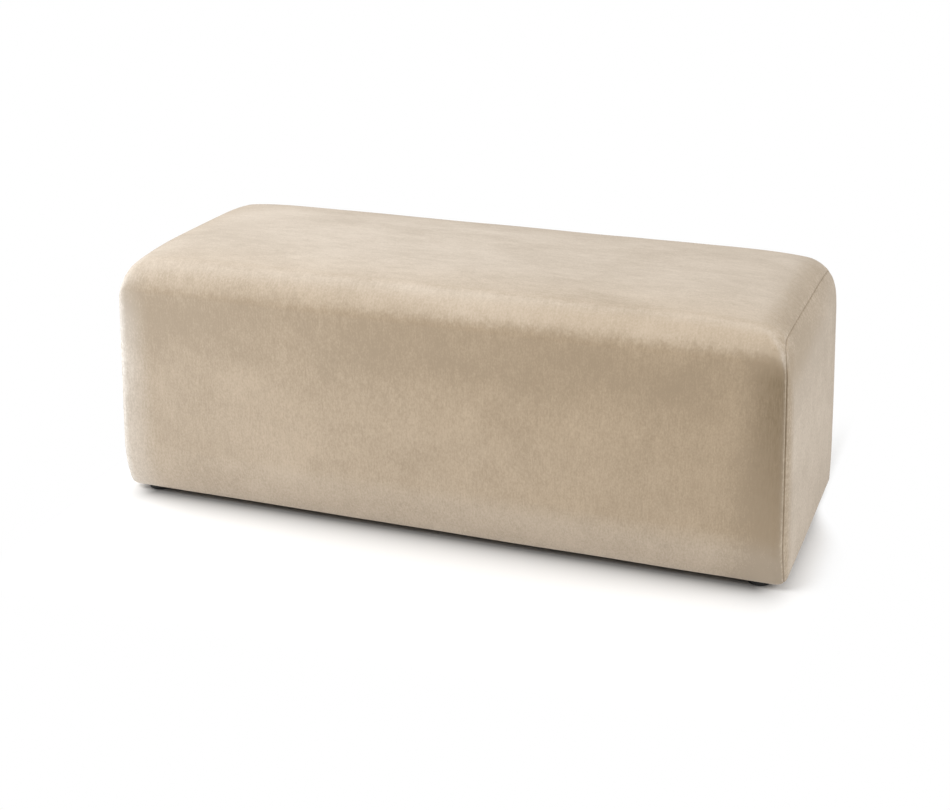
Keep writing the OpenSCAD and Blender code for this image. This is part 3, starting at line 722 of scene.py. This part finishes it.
def foam(colours):
    """Open-cell foam."""
    mat = Recipe("seat_foam_cells")
    cells = mat.cells(900)
    ageing = mat.noise(9, detail=3, rough=0.5)
    base = mat.shades(mat.weigh([(cells, 0.9), (ageing, 0.8)]), colours.foam, dark=0.7, light=1.1)
    return mat.done(base, cells, 0.6, 0.5 * MM, Roughness=0.95, Specular_IOR_Level=0.1)


def wadding(colours):
    """Crimped polyester fibres in soft tufts."""
    mat = Recipe("white_wadding")
    tufts = mat.noise(55, detail=4, rough=0.65, twist=1.5)
    fibres = mat.noise(900, detail=3, rough=0.7, stretch=(0.3, 1, 0.6), twist=1)
    base = mat.shades(mat.weigh([(tufts, 1.2), (fibres, 0.9)]), colours.wadding, dark=0.78, light=1.1)
    relief = mat.plus(tufts, mat.times(fibres, 0.3))
    return mat.done(base, relief, 0.6, 1.5 * MM, Roughness=0.95, Specular_IOR_Level=0.1,
                    Sheen_Weight=0.3, Sheen_Roughness=0.5)


def strap_weave(colours):
    """Woven elastic webbing: warp and weft threads, with some fuzz."""
    mat = Recipe("black_webbing")
    warp, weft = [mat.maths("SINE", mat.times(way, THREADS)) for way in mat.split(mat.place)[:2]]
    weave = mat.times(warp, weft)
    fuzz = mat.noise(700, detail=2, rough=0.6)
    share = mat.ramp(mat.plus(mat.times(weave, 0.5), fuzz), -0.1, 1.1)
    base = mat.shades(share, colours.webbing, dark=0.6, light=2)
    return mat.done(base, weave, 0.5, 0.3 * MM, Roughness=0.8, Sheen_Weight=0.1, Sheen_Roughness=0.5)


RECIPES = {
    "velvet": velvet,
    "dust_cloth": lambda c: non_woven("black_non_woven", c.dust, 700),
    "lining": lambda c: non_woven("grey_lining", c.lining, 600),
    "black_plastic": moulded,
    "plywood": lambda c: wood("raw_plywood", c.plywood, True),
    "pine": lambda c: wood("planed_pine", c.pine, False),
    "zinc_steel": zinc,
    "foam": foam,
    "wadding": wadding,
    "webbing": strap_weave,
}


def give_finish(node, name):
    """Gives a node of the construction the named material."""
    obj = frame["nodes"][node]
    if obj.material_slots:
        for place in obj.material_slots:
            place.material = finish_of(name)
    else:
        obj.data.materials.append(finish_of(name))


# The cover


# Distances from a seam: far from it, reach of its shape, and where the padding is fully uneven
FAR, SEAM_REACH, WAVE_FULL = 1.0, 0.06, 0.03
# Half widths of the painted shade line on a seam and of the tousled pile beside it
SHADE_LINE_W, BESIDE_W = 0.6 * MM, 9 * MM
# What counts as the way from the edge of an end's face to its middle, and what its crown adds to its width
FACE_ROOM, CROWN_EXTRA = 0.2, 2 * MM
# Seeds of the gathers
STRIP_SEED, END_SEED = 0, 10


def seam_rows(form, place, outwards):
    """Angles round the end and distances from the seam, from the seam on; outwards is towards the end."""
    r, seam = form.end_r(place), form.s.seam_angle
    way = 1 if outwards else -1
    near = [(seam + way * gap * MM / r, gap * MM) for gap in NEAR_SEAM]
    last, limit = near[-1][0], QUARTER if outwards else 0.0
    rest = steps(CORNER_STEPS, last, limit)[1:]
    return near + [(turn, r * abs(turn - seam)) for turn in rest]


def build_strip(form):
    """The strip's rows across the bench, from the front turn-under over the seat to the back one."""
    places = under_places(-1) + section_places() + under_places(1)
    mid_shares = steps(LENGTH_STEPS, 1, -1)[1:-1]
    rows, gaps = [], []
    for place in places:
        right = [(form.raw(turn, place), gap) for turn, gap in seam_rows(form, place, False)]
        x0, y0, z0 = right[-1][0]
        middle = [((share * x0, y0, z0), FAR) for share in mid_shares]
        left = [((-p[0], p[1], p[2]), gap) for p, gap in reversed(right)]
        row = right + middle + left
        rows.append([form.soften(*p) for p, _ in row])
        gaps.append([gap for _, gap in row])
    return places, np.array(rows, float), np.array(gaps)


def cover_heights(points, gaps, sewing, seed, along, mask=None):
    """Heights of the sewn cloth above the bare form; where the mask is 0 there is no seam."""
    heights = np.zeros(gaps.shape)
    for i, row in enumerate(points):
        for j, p in enumerate(row):
            h = wave_height(Vector(p), sewing)
            if gaps[i, j] < SEAM_REACH:
                side = seed + (1 if p[0] > 0 else 2)
                weight = 1.0 if mask is None else mask[i, j]
                h *= clamp01(gaps[i, j] / WAVE_FULL)
                h += weight * seam_height(gaps[i, j], along[i, j], side, sewing)
            heights[i, j] = h
    return heights


def cloth_area(points):
    """Area of a grid of points, in square metres."""
    a, b = points[1:, 1:] - points[:-1, :-1], points[1:, :-1] - points[:-1, 1:]
    return float(np.linalg.norm(np.cross(a, b), axis=2).sum() / 2)


def velvet_piece(name, verts, faces, gaps, node):
    """A piece of the cover; gaps are its points' distances from a seam."""
    # the seam layer places the painted shade line along each seam
    layers = {"seam": np.exp(-((gaps / SHADE_LINE_W) ** 2)), "beside_seam": np.exp(-gaps / BESIDE_W)}
    obj = add_object(name, verts, faces, finish_of("velvet"), layers)
    merge_and_face_out(obj)
    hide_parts(node)
    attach(obj, "root")
    return obj


class BENCH_OT_cover_strip(Operator):
    """Sew the middle strip of the cover: up the front, over the seat and down the back"""

    bl_idname = "bench.cover_strip"
    bl_label = "Cover strip"

    def execute(self, context):
        sewing, form = context.scene.bench_sewing, Form(context.scene.bench_cover)
        places, points, gaps = build_strip(form)
        along = np.repeat(path_lengths(points[:, 0])[:, None], points.shape[1], axis=1)
        heights = cover_heights(points, gaps, sewing, STRIP_SEED, along)
        heights[[k for k, place in enumerate(places) if place[0] == UNDER]] = 0
        raised = raise_grid(points, heights)

        # cloth turned in at both seams, and turned up at the edges of the opening
        inward = raise_grid(points, heights - sewing.allowance)
        raised = np.concatenate([inward[:, :1], raised, inward[:, -1:]], axis=1)
        gaps = np.concatenate([gaps[:, :1], gaps, gaps[:, -1:]], axis=1)
        tucked = raised[[0, -1]] + np.array([0, 0, sewing.allowance])
        raised = np.concatenate([tucked[:1], raised, tucked[1:]], axis=0)
        gaps = np.concatenate([gaps[:1], gaps, gaps[-1:]], axis=0)

        rows, cols = raised.shape[:2]
        faces = grid_faces(rows, cols)
        strip = velvet_piece("velvet_strip", raised.reshape(-1, 3), faces, gaps.ravel(), "cover_main")

        return {"FINISHED"}


def build_end(form):
    """Rings of the right-hand end panel, from its seam to the middle of its face."""
    places = section_places() + under_places(1) + middle_places() + under_places(-1)
    rings = []
    for place in places:
        rings.append([(form.raw(turn, place), gap) for turn, gap in seam_rows(form, place, True)])
    points, gaps = [], []
    for k in range(len(rings[0])):
        points.append([form.soften(*ring[k][0]) for ring in rings])
        gaps.append([ring[k][1] for ring in rings])
    mid = form.form_ht / 2
    line = [ring[-1][0] for ring in rings]
    for share in [1 - s for s in steps(FACE_STEPS)[1:]]:
        points.append([form.soften(x, share * y, mid + share * (z - mid)) for x, y, z in line])
        gaps.append([ring[-1][1] + (1 - share) * FACE_ROOM for ring in rings])
    return places, np.array(points, float), np.array(gaps)


def build_flap(form):
    """The end cloth turned under, between the front and back turn-unders."""
    columns = [(UNDER, 1, 1.0)] + middle_places() + [(UNDER, -1, 1.0)]
    turns = steps(FLAP_TURN_STEPS, form.s.seam_angle, 0)
    rows = [[form.soften(*form.raw(turn, place)) for place in columns] for turn in turns]
    start = form.raw(0, columns[0])[0]
    for x in steps(FLAP_STEPS, start, form.under_x)[1:]:
        rows.append([form.soften(x, *form.raw(0, place)[1:]) for place in columns])
    return np.array(rows, float)


class BENCH_OT_end_panels(Operator):
    """Sew in the two end panels of the cover, with their flaps turned under the frame"""

    bl_idname = "bench.end_panels"
    bl_label = "End panels"

    def execute(self, context):
        sewing, form = context.scene.bench_sewing, Form(context.scene.bench_cover)
        places, base, gaps = build_end(form)
        flap = build_flap(form)
        # the seam ends where the flap begins
        loose = [kind == MIDDLE or (kind == UNDER and t == 1.0) for kind, _, t in places]
        sewn = np.where(loose, 0.0, 1.0)
        mask = np.repeat(sewn[None, :], base.shape[0], axis=0)
        for side, name in ((-1, "left"), (1, "right")):
            points = base.copy()
            points[..., 0] *= side
            along = np.repeat(path_lengths(points[0])[None, :], points.shape[0], axis=0)
            heights = cover_heights(points, gaps, sewing, END_SEED, along, mask)
            raised = raise_grid(points, heights)
            raised[-1] = raised[-1].mean(axis=0)
            lip = raise_grid(points, heights - sewing.allowance * mask)
            face = np.concatenate([lip[:1], raised], axis=0)
            from_seam = np.where(np.concatenate([mask[:1], mask]) > 0, np.concatenate([gaps[:1], gaps]), FAR)
            rows, cols = face.shape[:2]
            faces = grid_faces(rows, cols, closed=True)
            under = flap * np.array([side, 1, 1])
            tucked = under[-1:] + np.array([0, 0, sewing.allowance])
            under = np.concatenate([under, tucked])
            faces += grid_faces(*under.shape[:2], start=rows * cols)
            verts = np.concatenate([face.reshape(-1, 3), under.reshape(-1, 3)])
            from_seam = np.concatenate([from_seam.ravel(), np.full(under.shape[:2], FAR).ravel()])
            panel = velvet_piece("velvet_end_" + name, verts, faces, from_seam, "cover_end_" + name)

            # flat size: across the end, and from the seat seam down and under the frame
            width = np.ptp(verts[:, 1]) + CROWN_EXTRA
            height = path_lengths(raised[:, cols // 3])[-1] * 2 + sewing.allowance + np.ptp(under[..., 0])
            area = cloth_area(np.concatenate([face, face[:, :1]], axis=1)) + cloth_area(under)
            height = max(height, area / width)
        return {"FINISHED"}


# Underside


# The dust cover's staples, as in the construction: number and run on a long side, number on an end
LONG_STAPLES, LONG_RUN, LONG_SHIFT, END_STAPLES, END_INSET = 10, 0.84, 10 * MM, 4, 46 * MM
STAPLE_HALF_W = 0.6 * MM
# From a glide's middle to the edge of the dust cover's notch
NOTCH = 20.5 * MM
# The dust cover's grid, its sag, and its ripples with their number in a metre
DUST_STEPS_X, DUST_STEPS_Y = 200, 72
SAG, SAG_POWER = 3 * MM, 0.6
RIPPLE, RIPPLE_LEAST, RIPPLES = 0.25 * MM, 0.15 * MM, 30
# Slack for the rounding of the grid's places
ROUNDED = 1e-6
# How far a staple holds the cloth, until it's loose, how much further lengthways, and how far an edge does
HOLD, HOLD_FADE, HOLD_STRETCH, EDGE_FADE = 5 * MM, 30 * MM, 1.6, 12 * MM
# The dust cover's place over its lower face, its thickness, and what an edge turns in
DUST_LIFT, DUST_THICK, DUST_TURNED_IN = 0.12 * MM, 0.3 * MM, 10 * MM


def staple_places(open_y):
    """Where the dust cover's staples press it up: along the long sides, then across the ends."""
    far_x, far_y = [far - STAPLE_HALF_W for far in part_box("dust_cover_staples")[1][:2]]
    first, reach = LONG_SHIFT - LONG_RUN / 2, open_y - END_INSET
    xs = [first + LONG_RUN * k / (LONG_STAPLES - 1) for k in range(LONG_STAPLES)]
    ys = [reach * (2 * k / (END_STAPLES - 1) - 1) for k in range(END_STAPLES)]
    sides = (-1, 1)
    along = [(x, side * far_y) for x in xs for side in sides]
    return along + [(side * far_x, y) for y in ys for side in sides]


class BENCH_OT_dust_cover(Operator):
    """Staple the thin non-woven cloth under the frame"""

    bl_idname = "bench.dust_cover"
    bl_label = "Dust cover"

    def execute(self, context):
        cover = context.scene.bench_cover
        hx, hy = DUST_HIGH.x, DUST_HIGH.y
        foot_low, foot_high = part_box("foot_front_right")
        foot = (foot_low + foot_high) / 2
        notch_x, notch_y = foot.x - NOTCH, -foot.y - NOTCH
        xs = sorted({round(x, 6) for x in steps(DUST_STEPS_X, -hx, hx) + [notch_x, -notch_x]})
        ys = sorted({round(y, 6) for y in steps(DUST_STEPS_Y, -hy, hy) + [notch_y, -notch_y]})
        staples = staple_places(cover.open_y)

        def height(x, y):
            bx, by = 1 - (x / cover.open_x) ** 2, 1 - (y / cover.open_y) ** 2
            sag = SAG * (max(0, bx) * max(0, by)) ** SAG_POWER
            near = min(math.hypot((x - sx) / HOLD_STRETCH, y - sy) for sx, sy in staples)
            loose = clamp01((near - HOLD) / HOLD_FADE)
            ripple = RIPPLE * noise.noise(Vector((x * RIPPLES, y * RIPPLES, 1))) + RIPPLE_LEAST
            free = clamp01(min(hx - abs(x), hy - abs(y)) / EDGE_FADE)
            return DUST_LOW.z + DUST_LIFT - (sag + abs(ripple) * loose * free)

        index, verts = {}, []
        for i, x in enumerate(xs):
            for j, y in enumerate(ys):
                if abs(x) < notch_x + ROUNDED or abs(y) < notch_y + ROUNDED:
                    index[i, j] = len(verts)
                    verts.append((x, y, height(x, y)))
        faces = []
        for i, j in index:
            corners = [(i, j), (i, j + 1), (i + 1, j + 1), (i + 1, j)]
            if all(corner in index for corner in corners):
                faces.append([index[corner] for corner in corners])
        cloth = add_object("dust_cloth", verts, faces, finish_of("dust_cloth"))
        thick = cloth.modifiers.new("thickness", "SOLIDIFY")
        thick.thickness, thick.offset = DUST_THICK, 1.0
        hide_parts("dust_cover")
        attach(cloth, "root")
        return {"FINISHED"}


class BENCH_OT_glides(Operator):
    """Finish the four moulded glides"""

    bl_idname = "bench.glides"
    bl_label = "Glides"

    def execute(self, context):
        for node in GLIDES:
            give_finish(node, "black_plastic")
        return {"FINISHED"}


class BENCH_OT_inner_pieces(Operator):
    """Finish the frame, padding, webbing and fasteners inside"""

    bl_idname = "bench.inner_pieces"
    bl_label = "Inner pieces"

    def execute(self, context):
        for part in frame["record"]["subparts"]:
            if part["material_slot"] != "velvet" and part["node"] not in GLIDES:
                give_finish(part["node"], part["material_slot"])
        return {"FINISHED"}


# Stage


# Half length and half depth of the bench's foot on the floor
FOOT_HALF_LEN, FOOT_HALF_DEP = 0.5, 0.193
# The painted shadow along the foot: how fast it fades, and its share at the foot
SHADOW_FALL, SHADOW_DARK = 32.0, 0.72
# Ramps on the floor: where the ends' side, which has no painted shadow, begins and its width from front to
# back, then where the floor is painted white over its cast shadow in front and beside the ends
SIDE_FROM, SIDE_WIDTH = 0.03, (0.0, 0.14, 0.1, 0.05)
WHITE_FRONT, WHITE_SIDE = (0.08, 0.4), (-0.05, 0.12, 0.12, 0.05)


def floor_material(colours, gain):
    """Pale floor with a painted shadow along the bench's foot, painted white away from it over the cast
    shadow, as the camera sees it.
    """
    mat = Recipe("studio_floor")
    x, y = mat.split(mat.place)[:2]
    aside = mat.larger(mat.minus(mat.size_of(x), FOOT_HALF_LEN), 0.0)
    ahead = mat.larger(mat.minus(mat.size_of(y), FOOT_HALF_DEP), 0.0)
    away = mat.distance(aside, ahead)
    at_side = mat.ramp(aside, SIDE_FROM, mat.ramp(y, *SIDE_WIDTH))
    in_front = mat.minus(1.0, at_side)
    # painted shadow along the foot
    gap = mat.times(mat.maths("EXPONENT", mat.times(away, -SHADOW_FALL)), SHADOW_DARK)
    shadow_tone = mat.minus(1.0, mat.times(gap, in_front))
    fade_side = mat.ramp(away, 0.0, mat.ramp(y, *WHITE_SIDE))
    fade = mat.plus(mat.times(fade_side, at_side), mat.times(mat.ramp(away, *WHITE_FRONT), in_front))

    rays = mat.node("ShaderNodeLightPath")
    seen = mat.larger(rays.outputs["Is Camera Ray"], rays.outputs["Is Glossy Ray"])
    lit = mat.shades(shadow_tone, (gain, gain, gain), dark=0, light=1)
    surface = mat.blend(seen, opaque(colours.floor), lit)
    diffuse = mat.node("ShaderNodeBsdfDiffuse", {"Color": surface}).outputs[0]
    white = mat.node("ShaderNodeEmission").outputs[0]
    mixed = mat.node("ShaderNodeMixShader", {0: mat.times(seen, fade), 1: diffuse, 2: white})
    mat.link(mixed.outputs[0], mat.output.inputs[0])
    mat.tree.nodes.remove(mat.shader)
    return mat.material


# Places, sizes and powers of the lamps
LAMPS = {
    "key": ((-1.2, -1.8, 2.3), 1.6, 52),
    "overhead": ((-0.3, 0.3, 2.6), 2.0, 8),
    "right_fill": ((2.3, -0.2, 1.4), 1.4, 22),
    "left_rim": ((-2.2, 0.3, 1.2), 1.2, 22),
}
LAMP_AIM, CAMERA_AIM = Vector((0, 0, 0.25)), Vector((0, 0, 0.2005))
FLOOR_HALF, SENSOR_WIDTH = 14.0, 36.0


def soft_box(name, place, size, power):
    data = bpy.data.lights.new(name, "AREA")
    data.shape, data.size, data.energy = "SQUARE", size, power
    lamp = bpy.data.objects.new(name, data)
    lamp.location = place
    lamp.rotation_euler = (LAMP_AIM - Vector(place)).to_track_quat("-Z", "Y").to_euler()
    bpy.context.scene.collection.objects.link(lamp)


def white_world(strength):
    """A sky that the camera sees as white and that lights the bench with the given strength."""
    world = bpy.data.worlds.new("studio_sky")
    world.use_nodes = True
    nodes, links = world.node_tree.nodes, world.node_tree.links
    back, rays, level = nodes["Background"], nodes.new("ShaderNodeLightPath"), nodes.new("ShaderNodeMapRange")
    back.inputs["Color"].default_value = (1, 1, 1, 1)
    level.inputs["To Min"].default_value = strength
    level.inputs["To Max"].default_value = 1.0
    links.new(rays.outputs["Is Camera Ray"], level.inputs["Value"])
    links.new(level.outputs[0], back.inputs["Strength"])
    bpy.context.scene.world = world


class BENCH_OT_stage(Operator):
    """Set up the floor, the light and the camera"""

    bl_idname = "bench.stage"
    bl_label = "Stage"

    def execute(self, context):
        scene, stage = context.scene, context.scene.bench_stage
        corners = [(FLOOR_HALF * i, FLOOR_HALF * j, 0) for i, j in ((-1, -1), (1, -1), (1, 1), (-1, 1))]
        look = floor_material(scene.bench_colours, stage.floor_gain)
        add_object("studio_floor", corners, [(0, 1, 2, 3)], look)
        white_world(stage.sky)
        for name, settings in LAMPS.items():
            soft_box(name, *settings)

        a, e = stage.azimuth, stage.height
        back = Vector((math.sin(a) * math.cos(e), -math.cos(a) * math.cos(e), math.sin(e)))
        right = Vector((math.cos(a), math.sin(a), 0))
        up = back.cross(right)
        data = bpy.data.cameras.new("photo_camera")
        data.lens, data.sensor_width = stage.lens, SENSOR_WIDTH
        camera = bpy.data.objects.new("photo_camera", data)
        turn = Matrix((right, up, back)).transposed()
        place = CAMERA_AIM + stage.distance * back + stage.aside * right + stage.lift * up
        camera.matrix_world = Matrix.Translation(place) @ turn.to_4x4()
        scene.collection.objects.link(camera)
        scene.camera = camera
        scene.view_settings.view_transform = "Standard"
        return {"FINISHED"}


class BENCH_PT_panel(Panel):
    """Sizes, colours and steps of the bench"""

    bl_label = "Long Bench"
    bl_idname = "BENCH_PT_panel"
    bl_space_type = "VIEW_3D"
    bl_region_type = "UI"
    bl_category = "Bench"

    def draw(self, context):
        for group in GROUPS:
            values = getattr(context.scene, group)
            box = self.layout.box()
            for name in values.__annotations__:
                box.prop(values, name)
        for step in STEPS:
            self.layout.operator(step.bl_idname)


GROUPS = {
    "bench_cover": BenchCoverSizes,
    "bench_sewing": BenchSewing,
    "bench_colours": BenchColours,
    "bench_stage": BenchStage,
}
STEPS = [
    BENCH_OT_stage,
    BENCH_OT_cover_strip,
    BENCH_OT_end_panels,
    BENCH_OT_dust_cover,
    BENCH_OT_glides,
    BENCH_OT_inner_pieces,
]


def register():
    for cls in [*GROUPS.values(), *STEPS, BENCH_PT_panel]:
        bpy.utils.register_class(cls)
    for name, cls in GROUPS.items():
        setattr(bpy.types.Scene, name, PointerProperty(type=cls))


def unregister():
    for name in GROUPS:
        delattr(bpy.types.Scene, name)
    for cls in reversed([*GROUPS.values(), *STEPS, BENCH_PT_panel]):
        bpy.utils.unregister_class(cls)


def main():
    register()
    for step in STEPS:
        getattr(bpy.ops.bench, step.bl_idname.split(".")[1])()


if __name__ == "__main__":
    main()
